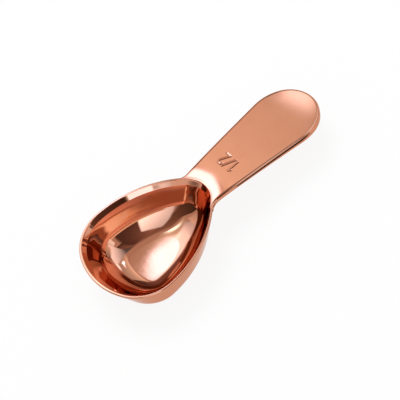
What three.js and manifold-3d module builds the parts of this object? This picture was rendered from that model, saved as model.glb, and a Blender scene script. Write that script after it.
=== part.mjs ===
// A one tablespoon kitchen scoop in copper-plated steel: a deep pear-shaped bowl with a flared lip and a
// raked front, and a strap handle whose foot is scribed to the bowl's nose and welded there.
// Millimetres, +Z up, +X from the bowl to the handle. The origin lies on the bowl's flat base, on the
// plane of symmetry, under the widest station of the bowl.

import * as THREE from 'three';
import { mergeVertices } from 'three/addons/utils/BufferGeometryUtils.js';
import Module from 'manifold-3d';

const wasm = await Module();
wasm.setup();

// Bowl, outline of the rim from above: four arcs a side, tangent in turn from the front to the nose
const BOWL_HALF_WIDTH = 21;
const FRONT_RADIUS = 26.8;
const SHOULDER_RADIUS = 17;
const SIDE_RADIUS = 43;
const NOSE_RADIUS = 10;

// Bowl, outside from the rim's crest down to the base
const BOWL_DEPTH = 16.8;
const WALL_DRAFT = THREE.MathUtils.degToRad(17);
const LIP_EDGE_RADIUS = 0.4;
const BOTTOM_RADIUS = 7.9;
const BASE_NOSE_RADIUS = 5.8;

// The front leans more than the sides: share of its length that it would lose over an inset of the half width
const FRONT_RAKE = 0.43;

// Bowl, inside from the crest down a narrow flared band and the wall to the floor
const LIP_RADIUS = 0.5;
const FLARE_WIDTH = 1.95;
const FLARE_SLOPE = THREE.MathUtils.degToRad(59);
const FLARE_RADIUS = 1.5;
const INNER_DRAFT = THREE.MathUtils.degToRad(22.5);
const INNER_RADIUS = 10;
const FLOOR_THICKNESS = 2.2;

// Handle, outline from above
const HANDLE_LENGTH = 51.5;
const NECK_HALF_WIDTH = 8.55;
const HANDLE_TAPER = 0.103;
const HANDLE_END_LENGTH = 16.8;
const NECK_FILLET_RADIUS = 5.2;

// Handle, seen from the side: a short roll over the neck, then a long shallow arch to the tip
const NECK_ROLL_LENGTH = 8.4;
const NECK_RISE = THREE.MathUtils.degToRad(2.5);
const NECK_FALL = THREE.MathUtils.degToRad(1.5);
const TIP_FALL = THREE.MathUtils.degToRad(5);
const NECK_THICKNESS = 2.3;
const TIP_THICKNESS = 3.6;
const EDGE_RADIUS = 0.9;

// The gap that the weld closes between the handle's foot and the bowl
const WELD_GAP = 0.3;

// Facets
const FRONT_STEPS = 4;
const SHOULDER_STEPS = 11;
const SIDE_STEPS = 13;
const NOSE_STEPS = 9;
const LIP_STEPS = 3;
const LIP_EDGE_STEPS = 3;
const BOTTOM_STEPS = 8;
const FILLET_STEPS = 8;
const EDGE_STEPS = 14;
const END_STEPS = 18;
const ROUND_STEPS = 4;

const sideCentreY = BOWL_HALF_WIDTH - SIDE_RADIUS;
const frontCentreX = Math.sqrt(
  (FRONT_RADIUS - SHOULDER_RADIUS) ** 2 - (BOWL_HALF_WIDTH - SHOULDER_RADIUS) ** 2,
);

// Inset of the bottom radius's centre from the rim's outline, where the wall is tangent to that radius
const baseInset = (
  (BOWL_DEPTH - BOTTOM_RADIUS - LIP_EDGE_RADIUS) * Math.sin(WALL_DRAFT)
  + BOTTOM_RADIUS - LIP_EDGE_RADIUS
) / Math.cos(WALL_DRAFT) + LIP_EDGE_RADIUS;

// Centre of the rounding between the flared band and the inner wall
const radiusGain = FLARE_RADIUS - LIP_RADIUS;
const flareFoot = {
  inset: LIP_EDGE_RADIUS + FLARE_WIDTH * Math.cos(FLARE_SLOPE) - radiusGain * Math.sin(FLARE_SLOPE),
  depth: LIP_RADIUS + FLARE_WIDTH * Math.sin(FLARE_SLOPE) + radiusGain * Math.cos(FLARE_SLOPE),
};

// Centre of the inner bottom radius, which is tangent to the inner wall and to the floor
const innerDepth = BOWL_DEPTH - FLOOR_THICKNESS - INNER_RADIUS;
const innerInset = flareFoot.inset + (innerDepth - flareFoot.depth) * Math.tan(INNER_DRAFT)
  + (FLARE_RADIUS + INNER_RADIUS) / Math.cos(INNER_DRAFT);

// Points along an arc from one angle to another, without the first
function arcPoints(x, y, radius, from, to, steps) {
  return Array.from({ length: steps }, (_, i) => {
    const angle = from + (to - from) * (i + 1) / steps;
    return new THREE.Vector2(x + radius * Math.cos(angle), y + radius * Math.sin(angle));
  });
}

// Where the nose arc is centred and where it starts, once the outline is drawn in by an inset
function noseAt(inset) {
  const radius = NOSE_RADIUS - inset * (NOSE_RADIUS - BASE_NOSE_RADIUS) / baseInset;
  const reach = SIDE_RADIUS - inset - radius;
  const x = Math.sqrt(reach ** 2 - sideCentreY ** 2);
  return { radius, x, start: Math.atan2(-sideCentreY, x) };
}

// The pear outline drawn in by an inset, anticlockwise from the nose round to the nose
function bowlOutline(inset) {
  const nose = noseAt(inset);
  const frontStart = Math.atan2(BOWL_HALF_WIDTH - SHOULDER_RADIUS, -frontCentreX);
  const shoulderY = BOWL_HALF_WIDTH - SHOULDER_RADIUS;
  const half = [
    new THREE.Vector2(nose.x + nose.radius, 0),
    ...arcPoints(nose.x, 0, nose.radius, 0, nose.start, NOSE_STEPS),
    ...arcPoints(0, sideCentreY, SIDE_RADIUS - inset, nose.start, Math.PI / 2, SIDE_STEPS),
    ...arcPoints(0, shoulderY, SHOULDER_RADIUS - inset, Math.PI / 2, frontStart, SHOULDER_STEPS),
    ...arcPoints(frontCentreX, 0, FRONT_RADIUS - inset, frontStart, Math.PI, FRONT_STEPS),
  ];
  const rake = 1 - FRONT_RAKE * inset / BOWL_HALF_WIDTH;
  half.filter((p) => p.x < 0).forEach((p) => p.setX(p.x * rake));
  const otherHalf = half.slice(1, -1).reverse().map((p) => new THREE.Vector2(p.x, -p.y));
  return [...half, ...otherHalf];
}

// The same outline as a level ring of points, at a depth below the rim's crest
function bowlRing({ inset, depth }) {
  return bowlOutline(inset).map((p) => new THREE.Vector3(p.x, p.y, BOWL_DEPTH - depth));
}

// The wall's section as inset and depth, from the inside of the floor over the rim to the base
function wallSection() {
  const bottom = { inset: baseInset, depth: BOWL_DEPTH - BOTTOM_RADIUS };
  const innerBottom = { inset: innerInset, depth: innerDepth };
  const lip = { inset: LIP_EDGE_RADIUS, depth: LIP_RADIUS };
  const lipEdge = { inset: LIP_EDGE_RADIUS, depth: LIP_EDGE_RADIUS };
  const onArc = (centre, radius, angle) => ({
    inset: centre.inset - radius * Math.cos(angle),
    depth: centre.depth + radius * Math.sin(angle),
  });
  const sweep = (centre, radius, from, to, steps) => Array.from(
    { length: steps + 1 },
    (_, i) => onArc(centre, radius, from + (to - from) * i / steps),
  );
  const floor = Math.PI / 2;
  const crest = -Math.PI / 2;
  const flare = crest - FLARE_SLOPE;
  return [
    ...sweep(innerBottom, INNER_RADIUS, floor, INNER_DRAFT, BOTTOM_STEPS),
    ...sweep(flareFoot, FLARE_RADIUS, INNER_DRAFT - Math.PI, flare, LIP_STEPS),
    ...sweep(lip, LIP_RADIUS, flare, crest, LIP_STEPS),
    ...sweep(lipEdge, LIP_EDGE_RADIUS, crest, WALL_DRAFT, LIP_EDGE_STEPS).slice(1),
    ...sweep(bottom, BOTTOM_RADIUS, WALL_DRAFT, floor, BOTTOM_STEPS),
  ];
}

// A closed skin over rings of equal length, each end filled by a fan round its middle
function loftRings(rings) {
  const count = rings[0].length;
  const middle = (ring) => ring.reduce((sum, p) => sum.add(p), new THREE.Vector3()).divideScalar(count);
  const points = [...rings.flat(), middle(rings[0]), middle(rings.at(-1))];
  const firstMiddle = points.length - 2;
  const lastMiddle = points.length - 1;
  const lastRing = (rings.length - 1) * count;
  const faces = [];
  for (let j = 0; j < count; j += 1) {
    const next = (j + 1) % count;
    faces.push(firstMiddle, j, next);
    faces.push(lastMiddle, lastRing + next, lastRing + j);
    for (let row = 0; row < lastRing; row += count) {
      faces.push(row + j, row + count + j, row + count + next);
      faces.push(row + j, row + count + next, row + next);
    }
  }
  return geometryFrom(points, faces);
}

function geometryFrom(points, faces) {
  const geometry = new THREE.BufferGeometry().setFromPoints(points);
  geometry.setIndex(faces);
  return geometry;
}

// Height of the handle's upper face: the slope turns steadily over the neck, then more slowly to the tip
const neckX = noseAt(0).x + NOSE_RADIUS;
const tipX = neckX + HANDLE_LENGTH;

function handleTop(x) {
  const along = x - neckX;
  const neckTurn = (NECK_RISE + NECK_FALL) / NECK_ROLL_LENGTH;
  const tipTurn = (TIP_FALL - NECK_FALL) / (HANDLE_LENGTH - NECK_ROLL_LENGTH);
  const onRoll = THREE.MathUtils.clamp(along, 0, NECK_ROLL_LENGTH);
  const past = Math.max(along - NECK_ROLL_LENGTH, 0);
  const roll = NECK_RISE * Math.min(along, NECK_ROLL_LENGTH) - neckTurn * onRoll ** 2 / 2;
  return BOWL_DEPTH + roll - NECK_FALL * past - tipTurn * past ** 2 / 2;
}

function handleBottom(x) {
  const share = THREE.MathUtils.clamp((x - neckX) / HANDLE_LENGTH, 0, 1);
  return handleTop(x) - THREE.MathUtils.lerp(NECK_THICKNESS, TIP_THICKNESS, share);
}

function handleEdgeY(x) {
  return NECK_HALF_WIDTH + HANDLE_TAPER * (x - neckX);
}

// Centre of the fillet that is tangent to the bowl's side arc and to the handle's straight edge
function neckFillet() {
  const rise = NECK_FILLET_RADIUS * Math.hypot(1, HANDLE_TAPER);
  const base = handleEdgeY(0) + rise - sideCentreY;
  const a = 1 + HANDLE_TAPER ** 2;
  const b = HANDLE_TAPER * base;
  const c = base ** 2 - (SIDE_RADIUS + NECK_FILLET_RADIUS) ** 2;
  const x = (-b + Math.sqrt(b ** 2 - a * c)) / a;
  const y = handleEdgeY(x) + rise;
  return {
    x,
    y,
    from: Math.atan2(y - sideCentreY, x) - Math.PI,
    to: Math.atan(HANDLE_TAPER) - Math.PI / 2,
  };
}

// One long side of the handle's outline with y positive, from inside the bowl's wall to the tip
function handleSide() {
  const fillet = neckFillet();
  const filletAt = (angle) => new THREE.Vector2(
    fillet.x + NECK_FILLET_RADIUS * Math.cos(angle),
    fillet.y + NECK_FILLET_RADIUS * Math.sin(angle),
  );
  const root = filletAt(fillet.from);
  const edgeStart = filletAt(fillet.to);
  const endX = tipX - HANDLE_END_LENGTH;
  const straight = Array.from({ length: EDGE_STEPS }, (_, i) => {
    const x = THREE.MathUtils.lerp(edgeStart.x, endX, (i + 1) / EDGE_STEPS);
    return new THREE.Vector2(x, handleEdgeY(x));
  });
  const end = Array.from({ length: END_STEPS }, (_, i) => {
    const angle = Math.PI / 2 * (i + 1) / END_STEPS;
    const x = endX + HANDLE_END_LENGTH * Math.sin(angle);
    return new THREE.Vector2(x, handleEdgeY(x) * Math.cos(angle));
  });
  end.at(-1).y = 0;
  return [
    new THREE.Vector2(root.x - NECK_THICKNESS, root.y - NECK_THICKNESS),
    root,
    ...arcPoints(fillet.x, fillet.y, NECK_FILLET_RADIUS, fillet.from, fillet.to, FILLET_STEPS),
    ...straight,
    ...end,
  ];
}

// The whole outline anticlockwise: the side with y negative to the tip, then back along the other
function handleOutline() {
  const side = handleSide();
  const mirrored = side.slice(0, -1).map((p) => new THREE.Vector2(p.x, -p.y));
  return [...mirrored, ...side.reverse()];
}

// The outline drawn in along its own normals. Its first and last points lie inside the bowl's wall and
// follow the roots of the fillets beside them.
function drawnIn(outline, inset) {
  const last = outline.length - 2;
  return outline.map((p, i) => {
    const at = THREE.MathUtils.clamp(i, 1, last);
    const before = outline[Math.max(at - 1, 1)];
    const after = outline[Math.min(at + 1, last)];
    const along = new THREE.Vector2().subVectors(after, before).normalize();
    return new THREE.Vector2(p.x - inset * along.y, p.y + inset * along.x);
  });
}

// The handle before its foot is scribed: flat faces above and below, with a rounded edge all round
function handleBlank() {
  const outline = handleOutline();
  const count = outline.length;
  const tip = (count - 1) / 2;
  const rounding = Array.from({ length: ROUND_STEPS + 1 }, (_, i) => Math.PI / 2 * i / ROUND_STEPS);
  const ring = (angle, height) => {
    const inset = EDGE_RADIUS * (1 - Math.sin(angle));
    const drop = EDGE_RADIUS * (1 - Math.cos(angle));
    return drawnIn(outline, inset).map((p) => new THREE.Vector3(p.x, p.y, height(p.x, drop)));
  };
  const rings = [
    ...rounding.map((angle) => ring(angle, (x, drop) => handleTop(x) - drop)),
    ...rounding.reverse().map((angle) => ring(angle, (x, drop) => handleBottom(x) + drop)),
  ];
  const last = (rings.length - 1) * count;
  const faces = [];
  const quad = (a, b, c, d) => faces.push(a, b, c, a, c, d);
  for (let row = 0; row < last; row += count) {
    for (let i = 0; i < count - 1; i += 1) {
      quad(row + i, row + count + i, row + count + i + 1, row + i + 1);
    }
    quad(row, row + count - 1, row + 2 * count - 1, row + count);
  }
  for (let i = 0; i < tip - 1; i += 1) {
    const other = count - 1 - i;
    quad(i, i + 1, other - 1, other);
    quad(last + i, last + other, last + other - 1, last + i + 1);
  }
  faces.push(tip - 1, tip, tip + 1);
  faces.push(last + tip - 1, last + tip + 1, last + tip);
  return geometryFrom(rings.flat(), faces);
}

// The bowl's outer wall near the rim, swollen by the weld gap and carried up past the handle's top
function scribeTool() {
  const outerWall = wallSection().slice(-(BOTTOM_STEPS + 1));
  const overRim = { inset: 0, depth: -TIP_THICKNESS };
  const rimEdge = { inset: 0, depth: LIP_EDGE_RADIUS };
  return loftRings([overRim, rimEdge, ...outerWall].map(
    ({ inset, depth }) => bowlRing({ inset: inset - WELD_GAP, depth }),
  ));
}

function solidFrom(geometry) {
  const merged = mergeVertices(geometry);
  return new wasm.Manifold(new wasm.Mesh({
    numProp: 3,
    vertProperties: merged.attributes.position.array,
    triVerts: merged.index.array,
  }));
}

function subtract(geometry, tool) {
  const mesh = solidFrom(geometry).subtract(solidFrom(tool)).getMesh();
  const result = new THREE.BufferGeometry();
  result.setAttribute('position', new THREE.BufferAttribute(mesh.vertProperties, 3));
  result.setIndex(new THREE.BufferAttribute(mesh.triVerts, 1));
  return result;
}

function namedMesh(name, geometry, color, roughness) {
  geometry.computeVertexNormals();
  const material = new THREE.MeshStandardMaterial({ color, roughness, metalness: 1 });
  const mesh = new THREE.Mesh(geometry, material);
  mesh.name = name;
  return mesh;
}

const scoop = new THREE.Group();
scoop.add(namedMesh('bowl', loftRings(wallSection().map(bowlRing)), 0xc77a58, 0.08));
scoop.add(namedMesh('handle', subtract(handleBlank(), scribeTool()), 0xd08e70, 0.3));

export default scoop;
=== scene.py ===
"""Dresses a copper-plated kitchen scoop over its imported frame.

The bowl and the handle are drawn again from the sizes of the frame's solids, with finer skins, a flat land on
the bowl's lip, a rolled neck and a measure stamped into the handle. They stand in a plain white studio, with
panels that only the metal mirrors. Sizes are in millimetres until a mesh is written.
"""

import logging
import math
from dataclasses import dataclass
from enum import Enum
from typing import Any, Mapping, Optional, Sequence, Union

import bmesh
import bpy
from mathutils import Matrix, Vector


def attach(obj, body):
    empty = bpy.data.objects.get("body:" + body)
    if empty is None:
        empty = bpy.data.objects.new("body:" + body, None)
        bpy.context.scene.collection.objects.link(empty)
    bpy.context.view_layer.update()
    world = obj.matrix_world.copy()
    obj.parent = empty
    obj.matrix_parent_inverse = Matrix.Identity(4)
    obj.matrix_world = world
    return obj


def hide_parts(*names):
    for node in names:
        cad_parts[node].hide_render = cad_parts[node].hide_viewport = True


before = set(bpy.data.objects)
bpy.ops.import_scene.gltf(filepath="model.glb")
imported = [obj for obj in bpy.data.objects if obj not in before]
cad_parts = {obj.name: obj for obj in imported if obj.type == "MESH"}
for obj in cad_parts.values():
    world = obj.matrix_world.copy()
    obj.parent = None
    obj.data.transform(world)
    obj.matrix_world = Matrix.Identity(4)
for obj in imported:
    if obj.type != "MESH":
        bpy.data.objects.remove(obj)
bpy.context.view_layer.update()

MM = 0.001
SAME_POINT = 0.0002
QUARTER = math.pi / 2
IMAGE_SIDE = 400
SENSOR_WIDTH = 36.0
NOISE_ROUGHNESS = 0.55
NOISE_MIDDLE = 0.5

log = logging.getLogger("scoop")

Plan = tuple[float, float]
Point = tuple[float, float, float]
Colour = tuple[float, float, float]
Operand = Union["Wire", float]
WHITE: Colour = (1.0, 1.0, 1.0)
EVEN: Point = (1.0, 1.0, 1.0)


def mix(low: float, high: float, share: float) -> float:
    """Value that lies a share of the way from low to high."""
    return low + (high - low) * share


def ease(low: float, high: float, value: float) -> float:
    """Smooth step from 0 at low to 1 at high."""
    share = min(max((value - low) / (high - low), 0.0), 1.0)
    return share * share * (3.0 - 2.0 * share)


def arc(centre: Plan, radius: float, start: float, end: float, steps: int) -> list[Plan]:
    """Points along an arc.

    Args:
        centre: Middle of the arc.
        radius: Its radius.
        start: First angle, in radians.
        end: Last angle.
        steps: Number of points after the first.

    Returns:
        The points from the first angle to the last, both included.
    """
    angles = [mix(start, end, i / steps) for i in range(steps + 1)]
    return [(centre[0] + radius * math.cos(a), centre[1] + radius * math.sin(a)) for a in angles]


def spread(start: float, end: float, steps: int) -> list[float]:
    """Even stations from start to end, without the first."""
    return [mix(start, end, (i + 1) / steps) for i in range(steps)]


class Skin:
    """Gathers rows of points in millimetres and writes them as one smooth mesh in metres."""

    def __init__(self) -> None:
        """Starts with no points."""
        self.points: list[Point] = []
        self.polish: list[float] = []
        self.faces: list[tuple[int, ...]] = []

    def row(self, points: Sequence[Point], polish: Union[float, Sequence[float]] = 0.0) -> list[int]:
        """Adds a row of points.

        Args:
            points: Points of the row.
            polish: How far each point is polished, from 0, as the finish is, to 1, bright.

        Returns:
            The numbers of the new points.
        """
        first = len(self.points)
        self.points.extend(points)
        self.polish.extend([polish] * len(points) if isinstance(polish, (int, float)) else polish)
        return list(range(first, len(self.points)))

    def bridge(self, one: Sequence[int], other: Sequence[int], closed: bool = False) -> None:
        """Spans two rows of equal length with four-sided faces.

        Args:
            one: First row of point numbers.
            other: Second row.
            closed: Whether the last points join the first ones.
        """
        count = len(one)
        for i in range(count if closed else count - 1):
            j = (i + 1) % count
            self.faces.append((one[i], other[i], other[j], one[j]))

    def fan(self, ring: Sequence[int], middle: int) -> None:
        """Fills a closed ring with triangles round a middle point."""
        for i, number in enumerate(ring):
            self.faces.append((number, ring[(i + 1) % len(ring)], middle))

    def write(self, name: str) -> bpy.types.Object:
        """Writes the mesh, with doubled points joined and all faces turned outward.

        Args:
            name: Name of the new object.

        Returns:
            The object, linked to the scene.
        """
        work = bmesh.new()
        layer = work.verts.layers.float.new("polish")
        corners = []
        for point, polish in zip(self.points, self.polish):
            corner = work.verts.new([c * MM for c in point])
            corner[layer] = polish
            corners.append(corner)
        for face in self.faces:
            work.faces.new([corners[i] for i in face]).smooth = True
        bmesh.ops.remove_doubles(work, verts=work.verts, dist=SAME_POINT * MM)
        bmesh.ops.recalc_face_normals(work, faces=work.faces)
        mesh = bpy.data.meshes.new(name)
        work.to_mesh(mesh)
        work.free()
        piece = bpy.data.objects.new(name, mesh)
        bpy.context.scene.collection.objects.link(piece)
        return piece


class Wire:
    """An output socket whose arithmetic adds Math nodes."""

    def __init__(self, bench: "Bench", socket: Optional[bpy.types.NodeSocket]) -> None:
        """Holds the socket and the bench that it is on."""
        self.bench = bench
        self.socket = socket

    def _math(self, operation: str, first: Operand, second: Operand) -> "Wire":
        """One Math node on two values."""
        return self.bench.add("ShaderNodeMath", {"operation": operation}, {0: first, 1: second})

    def __add__(self, other: Operand) -> "Wire":
        """This value plus another."""
        return self._math("ADD", self, other)

    def __radd__(self, other: Operand) -> "Wire":
        """Another value plus this one."""
        return self._math("ADD", other, self)

    def __sub__(self, other: Operand) -> "Wire":
        """This value less another."""
        return self._math("SUBTRACT", self, other)

    def __rsub__(self, other: Operand) -> "Wire":
        """Another value less this one."""
        return self._math("SUBTRACT", other, self)

    def __mul__(self, other: Operand) -> "Wire":
        """This value times another."""
        return self._math("MULTIPLY", self, other)

    def __rmul__(self, other: Operand) -> "Wire":
        """Another value times this one."""
        return self._math("MULTIPLY", other, self)

    def at_most(self, other: Operand) -> "Wire":
        """The smaller of this value and another."""
        return self._math("MINIMUM", self, other)

    def ramp(self, low: float, high: float) -> "Wire":
        """Smooth step of this value, from 0 at low to 1 at high."""
        return self.bench.add(
            "ShaderNodeMapRange",
            {"interpolation_type": "SMOOTHSTEP"},
            {"Value": self, "From Min": low, "From Max": high},
        )


@dataclass(frozen=True)
class Clouds:
    """A cloudy noise.

    Attributes:
        scale: Clouds in a metre.
        detail: Layers of finer clouds in them.
        stretch: Factor along each axis, smaller where the clouds are longer.
    """

    scale: float
    detail: float
    stretch: Point = EVEN


class Bench:
    """Makes the nodes of one material or world."""

    def __init__(self, owner: Union[bpy.types.Material, bpy.types.World]) -> None:
        """Clears the owner's node tree, ready for new nodes."""
        owner.use_nodes = True
        self.tree = owner.node_tree
        self.tree.nodes.clear()

    def add(
        self,
        kind: str,
        settings: Optional[Mapping[str, Any]] = None,
        inputs: Optional[Mapping[Union[str, int], Any]] = None,
        output: Union[str, int] = 0,
    ) -> Wire:
        """Makes one node.

        Args:
            kind: Blender's type name of the node.
            settings: The node's own settings, set before its sockets.
            inputs: Values, or wires, of its input sockets.
            output: The output socket that is wanted.

        Returns:
            The wire of that output.
        """
        node = self.tree.nodes.new(kind)
        for name, value in (settings or {}).items():
            setattr(node, name, value)
        for name, value in (inputs or {}).items():
            if isinstance(value, Wire):
                self.tree.links.new(value.socket, node.inputs[name])
            else:
                node.inputs[name].default_value = value
        return Wire(self, node.outputs[output]) if node.outputs else Wire(self, None)

    def stored(self, name: str) -> Wire:
        """Value that the mesh keeps at its points under a name."""
        return self.add("ShaderNodeAttribute", {"attribute_name": name}, output="Fac")

    def noise(self, clouds: Clouds) -> Wire:
        """Cloudy noise from 0 to 1, fixed to the piece."""
        where = self.add("ShaderNodeTexCoord", output="Object")
        place = self.add("ShaderNodeVectorMath", {"operation": "MULTIPLY"}, {0: where, 1: clouds.stretch})
        return self.add(
            "ShaderNodeTexNoise",
            inputs={
                "Vector": place,
                "Scale": clouds.scale,
                "Detail": clouds.detail,
                "Roughness": NOISE_ROUGHNESS,
            },
            output="Fac",
        )

    def blend(self, share: Operand, one: Any, other: Any) -> Wire:
        """Colour that lies a share of the way from one colour to another."""
        return self.add(
            "ShaderNodeMix",
            {"data_type": "RGBA"},
            {0: share, 6: one, 7: other},
            output=2,
        )

    def finish(self, shader: Wire, output: str) -> None:
        """Joins a shader to a new output node."""
        self.add(output, inputs={"Surface": shader})


def opaque(colour: Colour) -> tuple[float, float, float, float]:
    """A colour with full cover."""
    return (*colour, 1.0)


class Polish(Enum):
    """How the plated metal was worked before plating."""

    MIRROR = "mirror"
    SATIN = "satin"


# Clouds of the plate's thickness, of smudges, and of the grain that each kind of work leaves
PLATE = Clouds(140.0, 3.0)
SMUDGES = Clouds(420.0, 4.0)
GRAIN: Mapping[Polish, Clouds] = {
    Polish.MIRROR: Clouds(3800.0, 2.0, (1.0, 0.12, 1.0)),
    Polish.SATIN: Clouds(5200.0, 2.0, (0.35, 1.0, 1.0)),
}


@dataclass(frozen=True)
class CopperPlate:
    """A plated copper finish.

    Attributes:
        slot: Slot of the record that it belongs to.
        polish: How the metal under it was worked.
        colour: The plate's own colour.
        deep_colour: Colour where the plate is thicker.
        edge_colour: Tint of what it mirrors at a glancing angle.
        roughness: Roughness of the worked face.
        bright_roughness: Roughness where the face is buffed.
        wave_height: Height of the long waves in the face, in metres.
        grain_height: Height of the fine grain, in metres.
        smudge_share: How far smudges change the roughness, as a share of it.
        grain_share: How far the grain changes the roughness, as a share of it.
        thicker: Levels of the cloudy noise between which the plate thickens.
    """

    slot: str
    polish: Polish
    colour: Colour
    deep_colour: Colour
    edge_colour: Colour
    roughness: float
    bright_roughness: float
    wave_height: float
    grain_height: float
    smudge_share: float = 0.35
    grain_share: float = 0.3
    thicker: Plan = (0.35, 0.75)

    def material(self) -> bpy.types.Material:
        """Builds the finish.

        Returns:
            The new material.
        """
        made = bpy.data.materials.new(self.slot)
        bench = Bench(made)
        plate = bench.noise(PLATE)
        smudges = bench.noise(SMUDGES)
        grain = bench.noise(GRAIN[self.polish])
        bright = bench.stored("polish")
        smudged = (smudges - NOISE_MIDDLE) * (self.smudge_share * self.roughness)
        grained = (grain - NOISE_MIDDLE) * (self.grain_share * self.roughness)
        buffed = bright * (self.bright_roughness - self.roughness)
        roughness = self.roughness + smudged + grained + buffed
        colour = bench.blend(plate.ramp(*self.thicker), opaque(self.colour), opaque(self.deep_colour))
        waves = bench.add(
            "ShaderNodeBump",
            inputs={"Strength": 1.0, "Distance": 1.0, "Height": plate * self.wave_height},
        )
        fine = grain * (1.0 - bright) * self.grain_height
        bump = bench.add(
            "ShaderNodeBump",
            inputs={"Strength": 1.0, "Distance": 1.0, "Height": fine, "Normal": waves},
        )
        shader = bench.add(
            "ShaderNodeBsdfPrincipled",
            inputs={
                "Base Color": colour,
                "Metallic": 1.0,
                "Roughness": roughness,
                "Specular Tint": opaque(self.edge_colour),
                "Normal": bump,
            },
        )
        bench.finish(shader, "ShaderNodeOutputMaterial")
        return made

    def dress(self, piece: bpy.types.Object) -> None:
        """Gives a piece this finish."""
        piece.data.materials.append(self.material())


MIRROR_COPPER = CopperPlate(
    slot="mirror_copper",
    polish=Polish.MIRROR,
    colour=(0.665, 0.3, 0.19),
    deep_colour=(0.64, 0.28, 0.175),
    edge_colour=(0.82, 0.6, 0.5),
    roughness=0.045,
    bright_roughness=0.03,
    wave_height=0.00001,
    grain_height=0.0000002,
)
SATIN_COPPER = CopperPlate(
    slot="satin_copper",
    polish=Polish.SATIN,
    colour=(0.655, 0.28, 0.172),
    deep_colour=(0.63, 0.265, 0.16),
    edge_colour=(0.82, 0.6, 0.5),
    roughness=0.13,
    bright_roughness=0.06,
    wave_height=0.000004,
    grain_height=0.000001,
)


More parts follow.
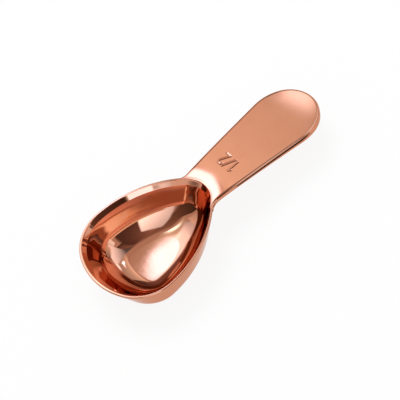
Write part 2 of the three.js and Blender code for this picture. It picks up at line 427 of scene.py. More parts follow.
@dataclass
class Bowl:
    """The drawn pear-shaped bowl, with a flared lip and a raked front.

    The rim's outline has four arcs a side, tangent in turn from the front to the nose. The wall is a set of
    insets of that outline at growing depths below the rim's crest. The round lip is filled out to a flat land
    along its crest, which has run out at the depth of land_end.
    """

    finish: CopperPlate = MIRROR_COPPER
    half_width: float = 21.0
    front_radius: float = 26.8
    shoulder_radius: float = 17.0
    side_radius: float = 43.0
    nose_radius: float = 10.0
    depth: float = 16.8
    draft: float = math.radians(17.0)
    lip_edge_radius: float = 0.4
    bottom_radius: float = 7.9
    base_nose_radius: float = 5.8
    rake: float = 0.43
    lip_radius: float = 0.5
    flare_width: float = 1.95
    flare_slope: float = math.radians(59.0)
    flare_radius: float = 1.5
    inner_draft: float = math.radians(22.5)
    inner_radius: float = 10.0
    floor: float = 2.2
    dish: float = 0.2
    land: float = 0.06
    land_end: float = 0.36
    outline_steps: tuple[int, int, int, int] = (30, 52, 44, 16)
    inside_steps: tuple[int, int, int, int, int] = (30, 10, 8, 8, 8)
    outside_steps: tuple[int, int, int] = (9, 6, 20)
    floor_steps: int = 22

    @property
    def side_centre_y(self) -> float:
        """Y of the centre of the side arc."""
        return self.half_width - self.side_radius

    @property
    def base_inset(self) -> float:
        """Inset of the bottom radius's centre, where the wall runs into that radius."""
        run = (self.depth - self.bottom_radius - self.lip_edge_radius) * math.sin(self.draft)
        run += self.bottom_radius - self.lip_edge_radius
        return run / math.cos(self.draft) + self.lip_edge_radius

    @property
    def flare_foot(self) -> Plan:
        """Centre of the rounding between the flared band and the inner wall, as inset and depth."""
        gain = self.flare_radius - self.lip_radius
        across, down = math.cos(self.flare_slope), math.sin(self.flare_slope)
        inset = self.lip_edge_radius + self.flare_width * across - gain * down
        return inset, self.lip_radius + self.flare_width * down + gain * across

    @property
    def inner_bottom(self) -> Plan:
        """Centre of the inner bottom radius, as inset and depth."""
        depth = self.depth - self.floor - self.inner_radius
        inset, foot_depth = self.flare_foot
        inset += (depth - foot_depth) * math.tan(self.inner_draft)
        inset += (self.flare_radius + self.inner_radius) / math.cos(self.inner_draft)
        return inset, depth

    def nose(self, inset: float) -> tuple[float, float, float]:
        """Nose arc of the outline drawn in by an inset.

        Args:
            inset: Distance from the rim's outer edge.

        Returns:
            Radius of the arc, x of its centre and the angle at which the side arc starts.
        """
        radius = self.nose_radius - inset * (self.nose_radius - self.base_nose_radius) / self.base_inset
        reach = self.side_radius - inset - radius
        x = math.sqrt(reach ** 2 - self.side_centre_y ** 2)
        return radius, x, math.atan2(-self.side_centre_y, x)

    def outline(self, inset: float) -> list[Plan]:
        """Pear outline drawn in by an inset.

        Args:
            inset: Distance from the rim's outer edge.

        Returns:
            Points from the nose anticlockwise round to the nose.
        """
        radius, nose_x, start = self.nose(inset)
        shoulder_y = self.half_width - self.shoulder_radius
        front_x = math.sqrt((self.front_radius - self.shoulder_radius) ** 2 - shoulder_y ** 2)
        front_start = math.atan2(shoulder_y, -front_x)
        nose_steps, side_steps, shoulder_steps, front_steps = self.outline_steps
        half = arc((nose_x, 0.0), radius, 0.0, start, nose_steps)
        half += arc((0.0, self.side_centre_y), self.side_radius - inset, start, QUARTER, side_steps)[1:]
        half += arc((0.0, shoulder_y), self.shoulder_radius - inset, QUARTER, front_start, shoulder_steps)[1:]
        half += arc((front_x, 0.0), self.front_radius - inset, front_start, math.pi, front_steps)[1:]
        rake = 1.0 - self.rake * inset / self.half_width
        half = [(x * rake if x < 0.0 else x, y) for x, y in half]
        return half + [(x, -y) for x, y in reversed(half[1:-1])]

    def inside(self) -> list[Plan]:
        """Inner section as inset and depth, from the floor up to the crest."""
        flare = -QUARTER - self.flare_slope
        edge = (self.lip_edge_radius, self.lip_radius)
        bottom_steps, wall_steps, foot_steps, band_steps, lip_steps = self.inside_steps
        bottom = self.sweep(self.inner_bottom, self.inner_radius, QUARTER, self.inner_draft, bottom_steps)
        foot = self.sweep(self.flare_foot, self.flare_radius, self.inner_draft - math.pi, flare, foot_steps)
        lip = self.sweep(edge, self.lip_radius, flare, -QUARTER, lip_steps)
        wall = self.between(bottom[-1], foot[0], wall_steps)
        band = self.between(foot[-1], lip[0], band_steps)
        return bottom + wall + foot + band + lip

    def outside(self) -> list[Plan]:
        """Outer section as inset and depth, from the crest down to the base."""
        centre = (self.base_inset, self.depth - self.bottom_radius)
        edge = (self.lip_edge_radius, self.lip_edge_radius)
        lip_steps, wall_steps, bottom_steps = self.outside_steps
        lip = self.sweep(edge, self.lip_edge_radius, -QUARTER, self.draft, lip_steps)
        bottom = self.sweep(centre, self.bottom_radius, self.draft, QUARTER, bottom_steps)
        return lip + self.between(lip[-1], bottom[0], wall_steps) + bottom

    @staticmethod
    def sweep(centre: Plan, radius: float, start: float, end: float, steps: int) -> list[Plan]:
        """Arc of the section, whose angle is 0 outward and a quarter turn down."""
        return [(2.0 * centre[0] - x, y) for x, y in arc(centre, radius, start, end, steps)]

    @staticmethod
    def between(one: Plan, other: Plan, steps: int) -> list[Plan]:
        """Points strictly between two points of the section."""
        shares = [i / steps for i in range(1, steps)]
        return [(mix(one[0], other[0], s), mix(one[1], other[1], s)) for s in shares]

    def ring(self, section: Plan) -> list[Point]:
        """Level ring of points at an inset and a depth, lifted to the land where it is near the crest."""
        inset, depth = section
        lift = self.land * (1.0 - ease(self.land, self.land_end, depth))
        height = self.depth - max(depth - lift, 0.0)
        return [(x, y, height) for x, y in self.outline(inset)]

    def dished(self, point: Point, middle: Plan, reach: Plan) -> Point:
        """Lifts a point of the inside, so that the floor is dished and runs softly into the wall.

        Args:
            point: Point of the flat-floored inside.
            middle: Middle of the floor.
            reach: Half length and half width of the floor.

        Returns:
            The lifted point.
        """
        x, y, z = point
        out = ((x - middle[0]) / reach[0]) ** 2 + ((y - middle[1]) / reach[1]) ** 2
        rise = (z - self.floor) / self.inner_radius
        fade = 0.5 + 0.5 * math.cos(math.pi * min(max(rise, 0.0), 1.0))
        return x, y, z + self.dish * out * fade

    def build(self) -> bpy.types.Object:
        """Builds and dresses the bowl.

        Returns:
            The bowl, in place of the frame's solid.
        """
        skin = Skin()
        floor = self.ring(self.inside()[0])
        low, high = min(p[0] for p in floor), max(p[0] for p in floor)
        middle = ((low + high) / 2, 0.0)
        reach = ((high - low) / 2, max(p[1] for p in floor))
        rings = []
        for share in spread(0.0, 1.0, self.floor_steps)[:-1]:
            rings.append([(mix(middle[0], x, share), y * share, z) for x, y, z in floor])
        rings += [self.ring(section) for section in self.inside()]
        rows = [skin.row([self.dished(p, middle, reach) for p in ring], 1.0) for ring in rings]
        rows += [skin.row(self.ring(section), 0.0) for section in self.outside()]
        for one, other in zip(rows, rows[1:]):
            skin.bridge(one, other, closed=True)
        skin.fan(rows[0], skin.row([(*middle, self.floor)], 1.0)[0])
        skin.fan(rows[-1], skin.row([(*middle, 0.0)])[0])
        piece = skin.write("scoop_bowl")
        self.finish.dress(piece)
        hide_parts("bowl")
        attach(piece, "root")
        return piece


@dataclass(frozen=True)
class Stamp:
    """The measure stamped into the handle: a plain half, for half a fluid ounce.

    It reads across the handle, with its head towards the bowl.

    Attributes:
        from_neck: Distance of its middle from the neck.
        height: Height of its figures.
        reach: How far from the middle the figures can press the face in, across the handle.
        rows: Half of the handle's stretch that has close rows of points for it.
        stroke: Width of a stroke.
        soft: Half of the width of the slope at each side of a stroke.
        depth: How far it is pressed in.
        grid: Height of the figures on the grid that they are drawn on.
        hook_steps: Number of points along the round head of the second figure.
    """

    from_neck: float = 11.0
    height: float = 4.8
    reach: float = 6.0
    rows: float = 3.2
    stroke: float = 0.55
    soft: float = 0.34
    depth: float = 0.1
    grid: float = 6.0
    hook_steps: int = 14

    def strokes(self) -> list[list[Plan]]:
        """Centre lines of the strokes, as places across and up from the middle."""
        part = self.height / self.grid
        hook = arc((3.0, 1.8), 1.2, math.radians(165), math.radians(-35), self.hook_steps)
        one = [(-3.9, 2.0), (-3.0, 3.0), (-3.0, -3.0)]
        slash = [(-1.5, -3.0), (1.1, 3.0)]
        two = hook + [(1.75, -3.0), (4.3, -3.0)]
        return [[(across * part, up * part) for across, up in line] for line in (one, slash, two)]

    def pressed(self, across: float, up: float) -> float:
        """How far the face is pressed in at a place across and up from the middle."""
        if abs(across) > self.reach or abs(up) > self.height:
            return 0.0
        away = min(
            self.away(across, up, one, other)
            for line in self.strokes()
            for one, other in zip(line, line[1:])
        )
        side = self.stroke / 2
        return self.depth * (1.0 - ease(side - self.soft, side + self.soft, away))

    @staticmethod
    def away(across: float, up: float, one: Plan, other: Plan) -> float:
        """Distance of a place from a straight line between two points."""
        run = (other[0] - one[0], other[1] - one[1])
        share = ((across - one[0]) * run[0] + (up - one[1]) * run[1]) / (run[0] ** 2 + run[1] ** 2)
        share = min(max(share, 0.0), 1.0)
        return math.hypot(across - one[0] - share * run[0], up - one[1] - share * run[1])


@dataclass
class Handle:
    """The strap handle, whose foot grows out of the lip at the bowl's nose.

    Its upper face has a short roll at the neck and then a long shallow arch, which starts a little past the
    neck and is eased in. The rounded end widens with the taper, and its face drops towards the edge.
    """

    bowl: Bowl
    stamp: Stamp = Stamp()
    finish: CopperPlate = SATIN_COPPER
    length: float = 51.5
    neck_half_width: float = 8.55
    taper: float = 0.103
    end_length: float = 16.8
    fillet_radius: float = 5.2
    roll_length: float = 4.6
    neck_rise: float = math.radians(7.0)
    neck_fall: float = math.radians(1.5)
    tip_fall: float = math.radians(5.0)
    arch_start: float = 2.0
    arch_ease: float = 6.0
    neck_thickness: float = 2.3
    tip_thickness: float = 3.6
    edge_radius: float = 0.9
    end_drop: float = 0.2
    end_ease: float = 9.0
    patch_length: float = 5.2
    buffed_length: float = 2.5
    lower_polish: float = 0.2
    fillet_steps: int = 30
    edge_steps: tuple[int, int, int] = (24, 52, 40)
    end_steps: int = 64
    foot_steps: tuple[int, int] = (60, 120)
    round_steps: int = 7
    side_column: float = 0.2
    column_steps: tuple[int, int] = (8, 84)

    @property
    def neck_x(self) -> float:
        """X of the bowl's outer edge at the nose."""
        radius, x, _ = self.bowl.nose(0.0)
        return x + radius

    @property
    def tip_x(self) -> float:
        """X of the handle's tip."""
        return self.neck_x + self.length

    def off_bowl(self, x: float, y: float) -> float:
        """Distance of a place outside the bowl's rim outline."""
        radius, nose_x, start = self.bowl.nose(0.0)
        if math.atan2(abs(y), x - nose_x) <= start:
            return math.hypot(x - nose_x, y) - radius
        return math.hypot(x, abs(y) - self.bowl.side_centre_y) - self.bowl.side_radius

    def top(self, x: float, y: float) -> float:
        """Height of the upper face, without the stamp.

        Args:
            x: Place along the handle.
            y: Place across it.

        Returns:
            The height: a roll that follows the bowl's rim, then a long shallow arch to the tip.
        """
        start = -self.bowl.lip_edge_radius - self.bowl.lip_radius * math.sin(self.neck_rise)
        along = min(self.off_bowl(x, y) - start, self.roll_length)
        foot = self.bowl.depth - self.bowl.lip_radius * (1.0 - math.cos(self.neck_rise))
        slope = math.tan(self.neck_rise)
        roll = slope * along - slope * along ** 2 / (2.0 * self.roll_length)
        past = max(x - self.neck_x - self.arch_start, 0.0)
        span = self.length - self.arch_start
        eased = self.arch_ease
        fall = self.neck_fall * (past - eased / 2 if past > eased else past ** 2 / (2.0 * eased))
        fall += (self.tip_fall - self.neck_fall) * past ** 2 / (2.0 * span)
        return foot + roll - fall - self.end_drop * self.end_share(x, y) ** 2

    def end_share(self, x: float, y: float) -> float:
        """Square of how far a place lies towards the edge of the rounded end, from 0 to 1."""
        start = self.tip_x - self.end_length
        if x <= start:
            return 0.0
        across = (y / self.edge_y(x)) ** 2 * ease(start, start + self.end_ease, x)
        return ((x - start) / self.end_length) ** 2 + across

    def bottom(self, x: float, y: float) -> float:
        """Height of the lower face."""
        share = min(max((x - self.neck_x) / self.length, 0.0), 1.0)
        return self.top(x, y) - mix(self.neck_thickness, self.tip_thickness, share)

    def edge_y(self, x: float) -> float:
        """Half width of the straight part at a place along the handle."""
        return self.neck_half_width + self.taper * (x - self.neck_x)

    def fillet(self) -> tuple[Plan, float, float]:
        """Concave fillet between the bowl's side and the handle's straight edge.

        Returns:
            Its centre, the angle of its root on the bowl and the angle of its end on the edge.
        """
        side_y, radius = self.bowl.side_centre_y, self.fillet_radius
        rise = radius * math.hypot(1.0, self.taper)
        base = self.edge_y(0.0) + rise - side_y
        a = 1.0 + self.taper ** 2
        b = self.taper * base
        c = base ** 2 - (self.bowl.side_radius + radius) ** 2
        x = (-b + math.sqrt(b ** 2 - a * c)) / a
        y = self.edge_y(x) + rise
        return (x, y), math.atan2(y - side_y, x) - math.pi, math.atan(self.taper) - QUARTER

    def side(self) -> list[Plan]:
        """Outer edge with y positive, from the fillet's root to the tip."""
        centre, start, end = self.fillet()
        line = arc(centre, self.fillet_radius, start, end, self.fillet_steps)
        end_x = self.tip_x - self.end_length
        mark_x = self.neck_x + self.stamp.from_neck
        ends = [line[-1][0], mark_x - self.stamp.rows, mark_x + self.stamp.rows, end_x]
        for one, other, steps in zip(ends, ends[1:], self.edge_steps):
            line += [(x, self.edge_y(x)) for x in spread(one, other, steps)]
        for angle in spread(0.0, QUARTER, self.end_steps):
            x = end_x + self.end_length * math.sin(angle)
            line.append((x, self.edge_y(x) * math.cos(angle)))
        line[-1] = (line[-1][0], 0.0)
        return line

    def drawn_in(self, line: Sequence[Plan], inset: float) -> list[Plan]:
        """A side line drawn in along its own normals, with its end kept on the middle."""
        moved = []
        last = len(line) - 1
        for i, (x, y) in enumerate(line):
            before, after = line[max(i - 1, 0)], line[min(i + 1, last)]
            run, rise = after[0] - before[0], after[1] - before[1]
            if i == last:
                run, rise = 0.0, -1.0
            size = math.hypot(run, rise)
            moved.append((x + inset * rise / size, y - inset * run / size))
        return moved

    def columns(self) -> list[float]:
        """Shares across the handle from one side to the other, closest where the stamp is."""
        ends = [0.0, self.side_column, 1.0 - self.side_column, 1.0]
        few, many = self.column_steps
        shares = [0.0]
        for one, other, steps in zip(ends, ends[1:], (few, many, few)):
            shares += spread(one, other, steps)
        return shares

    def foot_line(self, inset: float) -> list[Plan]:
        """Line along the bowl's lip between the two fillets' roots, at an inset.

        Args:
            inset: Distance from the rim's outer edge.

        Returns:
            One point for each column, from positive y to negative.
        """
        radius, nose_x, start = self.bowl.nose(inset)
        root = self.fillet()[1] + math.pi
        side_steps, nose_steps = self.foot_steps
        half = arc((0.0, self.bowl.side_centre_y), self.bowl.side_radius - inset, root, start, side_steps)
        half += arc((nose_x, 0.0), radius, start, 0.0, nose_steps)[1:]
        line = half + [(x, -y) for x, y in reversed(half[:-1])]
        gone = [0.0]
        for one, other in zip(line, line[1:]):
            gone.append(gone[-1] + math.dist(one, other))
        points, i = [], 0
        for share in self.columns():
            want = share * gone[-1]
            while i < len(line) - 2 and gone[i + 1] < want:
                i += 1
            part = (want - gone[i]) / (gone[i + 1] - gone[i])
            points.append((mix(line[i][0], line[i + 1][0], part), mix(line[i][1], line[i + 1][1], part)))
        return points

    def face_rows(self, side: Sequence[Plan], foot: Sequence[Plan]) -> list[list[Plan]]:
        """Rows of plan points over a face, from the foot line to the tip.

        Args:
            side: Edge of the face with y positive, from the root to the tip.
            foot: The foot line.

        Returns:
            One row for each point of the side.
        """
        across = [1.0 - 2.0 * share for share in self.columns()]
        last = next(i for i, p in enumerate(side) if p[0] > self.neck_x + self.patch_length)
        root_x, root_y = foot[0]
        rows = []
        for i, (x, y) in enumerate(side):
            bent = max(1.0 - i / last, 0.0)
            rows.append([
                (x + bent * (foot_x - root_x), y * part + bent * (foot_y - root_y * part))
                for part, (foot_x, foot_y) in zip(across, foot)
            ])
        return rows

    def build(self) -> bpy.types.Object:
        """Builds and dresses the handle.

        Returns:
            The handle, in place of the frame's solid.
        """
        skin = Skin()
        side = self.side()
        crest = self.bowl.lip_edge_radius + self.bowl.lip_radius * math.sin(self.neck_rise)
        inner = self.drawn_in(side, self.edge_radius)
        foot = self.foot_line(crest)
        inner[0] = foot[0]
        plan = self.face_rows(inner, foot)
        upper = []
        for row in plan:
            buffed = [self.buffed(x, y) for x, y in row]
            upper.append(skin.row([self.face_point(x, y) for x, y in row], buffed))
        lower = []
        for row in plan:
            lower.append(skin.row([(x, y, self.bottom(x, y)) for x, y in row], self.lower_polish))
        for rows in (upper, lower):
            for one, other in zip(rows, rows[1:]):
                skin.bridge(one, other)
        skin.bridge(upper[0], lower[0])
        for sign, column in ((1.0, 0), (-1.0, -1)):
            before = [row[column] for row in upper]
            for ring in self.edge_rings(side, sign):
                now = skin.row(ring, 1.0)
                skin.bridge(before, now)
                before = now
            skin.bridge(before, [row[column] for row in lower])
        piece = skin.write("scoop_handle")
        self.finish.dress(piece)
        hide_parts("handle")
        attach(piece, "root")
        return piece

    def face_point(self, x: float, y: float) -> Point:
        """Point of the upper face, with the stamp pressed in."""
        pressed = self.stamp.pressed(y, self.neck_x + self.stamp.from_neck - x)
        return x, y, self.top(x, y) - pressed

    def buffed(self, x: float, y: float) -> float:
        """How far the upper face is buffed: fully at the neck, fading to none."""
        return 1.0 - ease(0.0, self.buffed_length, self.off_bowl(x, y))

    def edge_rings(self, side: Sequence[Plan], sign: float) -> list[list[Point]]:
        """Rings of points round the rounded edge, from under the upper face to above the lower one.

        Args:
            side: Outer edge with y positive.
            sign: 1 for that side, -1 for its mirror image.

        Returns:
            The rings, each with one point for each point of the side.
        """
        turns = [(angle, self.top, -1.0) for angle in spread(0.0, QUARTER, self.round_steps)]
        turns += [(angle, self.bottom, 1.0) for angle in spread(QUARTER, 0.0, self.round_steps)[:-1]]
        rings = []
        for angle, face, way in turns:
            line = self.drawn_in(side, self.edge_radius * (1.0 - math.sin(angle)))
            drop = self.edge_radius * (1.0 - math.cos(angle))
            rings.append([(x, sign * y, face(x, y) + way * drop) for x, y in line])
        return rings


def hidden(name: str, mesh: bpy.types.Mesh) -> bpy.types.Object:
    """Links a mesh as a thing of the studio that only the metal mirrors.

    Args:
        name: Name of the new object.
        mesh: Its mesh.

    Returns:
        The object.
    """
    thing = bpy.data.objects.new(name, mesh)
    bpy.context.scene.collection.objects.link(thing)
    thing.visible_camera = False
    thing.visible_diffuse = False
    thing.visible_shadow = False
    return thing


@dataclass(frozen=True)
class Panel:
    """A curved studio panel that the metal mirrors, out of the camera's sight.

    Attributes:
        name: Name of the panel.
        corners: Its four corners in turn, each in degrees from +X towards +Y and in degrees above the floor.
        glow: Middle level of red, green and blue, where 1 is white.
        levels: Share of that level at each corner.
        soft: Width of the fade at its edges, as a share of its size.
        reach: Distance of the panel from the scoop.
        steps: Number of faces along each side of its grid.
    """

    name: str
    corners: tuple[Plan, Plan, Plan, Plan]
    glow: Colour
    levels: tuple[float, float, float, float]
    soft: float
    reach: float
    steps: int = 32

    def build(self) -> bpy.types.Object:
        """Builds the panel as a fine grid, so that its edges can fade.

        Returns:
            The panel.
        """
        steps = self.steps
        foot_left, foot_right, head_right, head_left = (self.place(*corner) for corner in self.corners)
        dim_left, dim_right, bright_right, bright_left = self.levels
        points, cover, level, faces = [], [], [], []
        for i in range(steps + 1):
            u = i / steps
            foot, head = foot_left.lerp(foot_right, u), head_left.lerp(head_right, u)
            for j in range(steps + 1):
                v = j / steps
                points.append(foot.lerp(head, v).normalized() * self.reach * MM)
                cover.append(self.fade(u) * self.fade(v))
                level.append(mix(mix(dim_left, dim_right, u), mix(bright_left, bright_right, u), v))
                if i and j:
                    here = i * (steps + 1) + j
                    faces.append((here, here - 1, here - steps - 2, here - steps - 1))
        mesh = bpy.data.meshes.new(self.name)
        mesh.from_pydata(points, [], faces)
        mesh.attributes.new("cover", "FLOAT", "POINT").data.foreach_set("value", cover)
        mesh.attributes.new("level", "FLOAT", "POINT").data.foreach_set("value", level)
        mesh.materials.append(self.material())
        return hidden(self.name, mesh)

    def place(self, turn: float, lift: float) -> Vector:
        """Direction of a corner."""
        turn, lift = math.radians(turn), math.radians(lift)
        level = math.cos(lift)
        return Vector((level * math.cos(turn), level * math.sin(turn), math.sin(lift)))

    def fade(self, share: float) -> float:
        """Cover at a share of the way across, from 0 at an edge to 1 well inside."""
        return ease(0.0, self.soft, min(share, 1.0 - share)) if self.soft else 1.0

    def material(self) -> bpy.types.Material:
        """Glow that lets the surround through where the panel fades."""
        made = bpy.data.materials.new(self.name)
        bench = Bench(made)
        cover, level = bench.stored("cover"), bench.stored("level")
        graded = bench.add("ShaderNodeVectorMath", {"operation": "SCALE"}, {0: self.glow, "Scale": level})
        glow = bench.add("ShaderNodeEmission", inputs={"Color": graded, "Strength": 1.0})
        clear = bench.add("ShaderNodeBsdfTransparent")
        shader = bench.add("ShaderNodeMixShader", inputs={0: cover, 1: clear, 2: glow})
        bench.finish(shader, "ShaderNodeOutputMaterial")
        return made


PANELS: tuple[Panel, ...] = (
    Panel("ceiling", ((-135, 10), (-45, 10), (45, 10), (135, 10)),
          (0.63, 0.53, 0.47), (0.90, 1.27, 0.74, 1.10), 0.00, 2600.0),
    Panel("dark_head", ((-181, 14), (-149, 29), (-10, 17), (1, 11)),
          (0.22, 0.15, 0.12), (0.01, 0.16, 0.43, 3.39), 0.08, 2321.0),
    Panel("dark_front", ((-216, 1), (-140, 6), (-126, 66), (-204, 32)),
          (0.12, 0.08, 0.06), (0.36, 0.86, 2.36, 0.41), 0.08, 2073.0),
    Panel("side_wall", ((88, 16), (135, 20), (161, 66), (62, 56)),
          (1.37, 1.59, 1.89), (0.15, 0.71, 0.20, 2.93), 0.14, 1851.0),
    Panel("dark_side", ((-111, 7), (-80, 5), (-11, 82), (-129, 75)),
          (0.19, 0.12, 0.10), (0.03, 0.51, 0.45, 3.02), 0.08, 1652.0),
    Panel("window", ((-49, 16), (19, 22), (10, 83), (-53, 72)),
          (1.22, 1.51, 1.83), (1.81, 1.30, 0.02, 0.00), 0.08, 1475.0),
    Panel("pale_wall", ((-140, 2), (-104, 8), (-97, 61), (-138, 76)),
          (1.62, 2.03, 2.44), (0.63, 1.87, 0.92, 0.58), 0.08, 1317.0),
    Panel("back_wall", ((15, 5), (67, 22), (65, 55), (-16, 73)),
          (0.84, 0.84, 0.79), (0.55, 0.51, 2.10, 0.85), 0.14, 1176.0),
    Panel("dark_back", ((24, 13), (113, 4), (68, 52), (38, 26)),
          (0.16, 0.09, 0.08), (0.01, 1.95, 2.03, 0.01), 0.09, 1050.0),
    Panel("high_wash", ((64, 40), (179, 39), (118, 77), (86, 83)),
          (2.33, 3.24, 3.29), (0.08, 0.50, 1.31, 2.11), 0.50, 837.0),
    Panel("low_front", ((-132, 7), (-60, 12), (-63, 21), (-133, 20)),
          (0.95, 0.75, 0.58), (0.12, 1.16, 1.87, 0.85), 0.11, 692.0),
    Panel("low_corner", ((-79, 7), (-51, 4), (-41, 18), (-87, 15)),
          (1.01, 0.80, 0.67), (0.10, 0.06, 0.64, 3.20), 0.08, 641.0),
    Panel("high_back", ((59, 53), (158, 44), (152, 58), (61, 64)),
          (0.87, 0.92, 0.90), (1.49, 0.91, 0.64, 0.97), 0.30, 594.0),
    Panel("low_end", ((-51, 1), (10, 1), (-11, 31), (-48, 34)),
          (0.68, 0.65, 0.60), (1.16, 0.24, 0.43, 2.17), 0.30, 550.0),
    Panel("back_corner", ((122, 18), (146, 20), (157, 54), (123, 38)),
          (0.90, 0.86, 0.83), (0.88, 0.68, 0.96, 1.47), 0.15, 509.0),
    Panel("dark_edge", ((-105, 2), (-57, 2), (-57, 17), (-105, 17)),
          (0.07, 0.04, 0.03), (0.80, 2.50, 2.50, 0.80), 0.04, 480.0),
    Panel("pale_edge", ((-125, 2), (-105, 2), (-105, 15), (-125, 15)),
          (1.90, 2.90, 3.90), (1.00, 1.00, 1.00, 1.00), 0.06, 470.0),
    Panel("saddle_light", ((76, 72), (138, 63), (140, 70), (80, 80)),
          (2.90, 5.20, 6.60), (0.85, 0.55, 0.50, 0.85), 0.22, 418.0),
    Panel("broad_light", ((70, 48), (104, 34), (106, 57), (70, 58)),
          (1.90, 2.40, 2.80), (1.00, 0.80, 0.80, 1.00), 0.14, 415.0),
    Panel("bowl_light", ((67, 51), (77, 48), (77, 60), (66.6, 60)),
          (2.60, 3.90, 5.70), (1.00, 0.80, 0.80, 1.00), 0.32, 405.0),
    Panel("neck_light", ((23, 43), (38, 43), (42, 56), (29, 56)),
          (3.30, 4.20, 6.00), (0.90, 0.90, 1.00, 1.00), 0.28, 80.0),
    Panel("edge_light", ((-66, 14), (-46, 14), (-43, 42), (-64, 42)),
          (1.40, 1.70, 1.90), (1.00, 0.80, 0.90, 1.10), 0.12, 151.0),
    Panel("tip_light", ((12, 24), (29, 24), (27, 34), (13, 34)),
          (2.40, 3.00, 3.70), (1.10, 1.10, 0.60, 0.60), 0.40, 150.0),
)


@dataclass(frozen=True)
class ShadowCard:
    """A painted shadow: a near-black sheet on the floor beside the handle, where the handle's shadow falls,
    out of the camera's sight, mirrored in the handle's edge as shade.

    Attributes:
        corners: Its corners in plan.
        lift: Height above the floor.
        colour: Colour of the painted shadow.
    """

    corners: tuple[Plan, Plan, Plan, Plan] = ((44.0, -16.8), (84.0, -20.8), (92.0, -62.0), (43.0, -36.0))
    lift: float = 0.3
    # Near-black: painted shade standing in for the handle's shadow on the floor
    colour: Colour = (0.02, 0.012, 0.01)

    def build(self) -> bpy.types.Object:
        """Builds the painted shadow sheet.

        Returns:
            The card.
        """
        mesh = bpy.data.meshes.new("painted_shadow_card")
        mesh.from_pydata([(x * MM, y * MM, self.lift * MM) for x, y in self.corners], [], [(3, 2, 1, 0)])
        made = bpy.data.materials.new("painted_shadow_card")
        bench = Bench(made)
        # Near-black glow, so that the handle's edge mirrors this sheet as its painted shadow
        shader = bench.add("ShaderNodeEmission", inputs={"Color": opaque(self.colour), "Strength": 1.0})
        bench.finish(shader, "ShaderNodeOutputMaterial")
        mesh.materials.append(made)
        return hidden("painted_shadow_card", mesh)


@dataclass(frozen=True)
class Camera:
    """The camera, placed by its direction from the rim's widest station."""

    turn: float = math.radians(-113.718)
    lift: float = math.radians(55.488)
    roll: float = math.radians(-22.084)
    distance: float = 472.5
    aim_right: float = 23.015
    aim_up: float = 16.506
    focal_pixels: float = 1368.69
    clip_near: float = 10.0
    clip_far: float = 20000.0

    def build(self, crest: float) -> bpy.types.Object:
        """Builds the camera.

        Args:
            crest: Height of the rim's crest.

        Returns:
            The camera, made the scene's own.
        """
        back = Vector((
            math.cos(self.lift) * math.cos(self.turn),
            math.cos(self.lift) * math.sin(self.turn),
            math.sin(self.lift),
        ))
        level = Vector((0.0, 0.0, 1.0)).cross(back).normalized()
        upright = back.cross(level)
        right = level * math.cos(self.roll) + upright * math.sin(self.roll)
        up = upright * math.cos(self.roll) - level * math.sin(self.roll)
        place = Vector((0.0, 0.0, crest)) + right * self.aim_right + up * self.aim_up + back * self.distance
        lens = bpy.data.cameras.new("camera")
        lens.sensor_width = SENSOR_WIDTH
        lens.lens = self.focal_pixels * SENSOR_WIDTH / IMAGE_SIDE
        lens.clip_start = self.clip_near * MM
        lens.clip_end = self.clip_far * MM
        camera = bpy.data.objects.new("camera", lens)
        camera.matrix_world = Matrix.Translation(place * MM) @ Matrix((right, up, back)).transposed().to_4x4()
        bpy.context.scene.collection.objects.link(camera)
        bpy.context.scene.camera = camera
        return camera


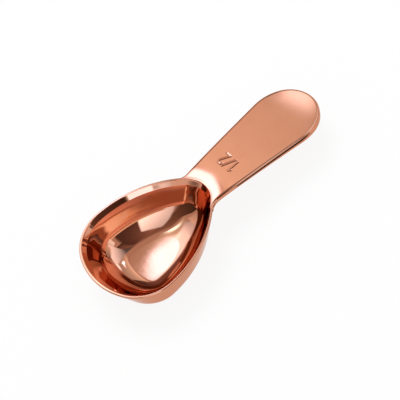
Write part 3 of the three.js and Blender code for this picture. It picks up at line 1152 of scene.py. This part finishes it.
@dataclass
class Studio:
    """Plain white studio: a pale floor, a white surround and a soft lamp.

    Its panels are there for the metal to mirror, and its near-black floor sheet is a painted shadow of the
    handle, which the handle's edge mirrors. A nearer panel covers a farther one.
    """

    floor_side: float = 6000.0
    floor_glow: float = 0.88
    floor_colour: Colour = (0.93, 0.93, 0.93)
    surround: float = 0.75
    lamp_place: Point = (100.0, 350.0, 900.0)
    lamp_size: float = 500.0
    lamp_power: float = 3.2
    # Painted shadow of the handle on the floor, for the handle's edge to mirror
    painted_shadow_card: ShadowCard = ShadowCard()
    panels: tuple[Panel, ...] = PANELS

    def sees_background(self, bench: Bench) -> Wire:
        """1 for rays from the camera and for rays mirrored or passed on by the object, else 0."""
        straight = bench.add("ShaderNodeLightPath", output="Is Camera Ray")
        mirrored = bench.add("ShaderNodeLightPath", output="Is Glossy Ray")
        passed = bench.add("ShaderNodeLightPath", output="Is Transmission Ray")
        return (straight + mirrored + passed).at_most(1.0)

    def build(self) -> None:
        """Builds the floor, the surround, the lamp, the panels and the painted shadow sheet."""
        bpy.context.scene.view_settings.view_transform = "Standard"
        self.build_floor()
        self.build_surround()
        self.build_lamp()
        for panel in self.panels:
            panel.build()
        # Painted shadow: a near-black sheet where the handle's shadow falls on the floor
        self.painted_shadow_card.build()

    def build_floor(self) -> bpy.types.Object:
        """Pale floor that looks white and keeps the object's shadow."""
        mesh = bpy.data.meshes.new("floor")
        half = self.floor_side / 2 * MM
        corners = [(-half, -half, 0.0), (half, -half, 0.0), (half, half, 0.0), (-half, half, 0.0)]
        mesh.from_pydata(corners, [], [(0, 1, 2, 3)])
        floor = bpy.data.objects.new("floor", mesh)
        bpy.context.scene.collection.objects.link(floor)
        made = bpy.data.materials.new("floor")
        bench = Bench(made)
        pale = bench.add("ShaderNodeBsdfDiffuse", inputs={"Color": opaque(self.floor_colour)})
        white = bench.add("ShaderNodeEmission", inputs={"Color": opaque(WHITE), "Strength": 1.0})
        share = self.sees_background(bench) * self.floor_glow
        shader = bench.add("ShaderNodeMixShader", inputs={0: share, 1: pale, 2: white})
        bench.finish(shader, "ShaderNodeOutputMaterial")
        mesh.materials.append(made)
        return floor

    def build_surround(self) -> None:
        """White surround, plain and soft as a light."""
        world = bpy.data.worlds.new("surround")
        bpy.context.scene.world = world
        bench = Bench(world)
        light = opaque((self.surround, self.surround, self.surround))
        colour = bench.blend(self.sees_background(bench), light, opaque(WHITE))
        shader = bench.add("ShaderNodeBackground", inputs={"Color": colour, "Strength": 1.0})
        bench.finish(shader, "ShaderNodeOutputWorld")

    def build_lamp(self) -> bpy.types.Object:
        """Soft lamp from above, for the shadow on the floor."""
        data = bpy.data.lights.new("lamp", "AREA")
        data.shape = "DISK"
        data.size = self.lamp_size * MM
        data.energy = self.lamp_power
        lamp = bpy.data.objects.new("lamp", data)
        lamp.location = [c * MM for c in self.lamp_place]
        lamp.rotation_euler = lamp.location.to_track_quat("Z", "Y").to_euler()
        lamp.visible_glossy = False
        bpy.context.scene.collection.objects.link(lamp)
        return lamp


def main() -> None:
    """Builds the scoop and its studio, and reports each piece."""
    logging.basicConfig(level=logging.INFO, format="%(message)s")
    bowl = Bowl()
    handle = Handle(bowl)
    for piece in (bowl.build(), handle.build()):
        log.info("%s: %d faces", piece.name, len(piece.data.polygons))
    Studio().build()
    Camera().build(bowl.depth)


if __name__ == "__main__":
    main()
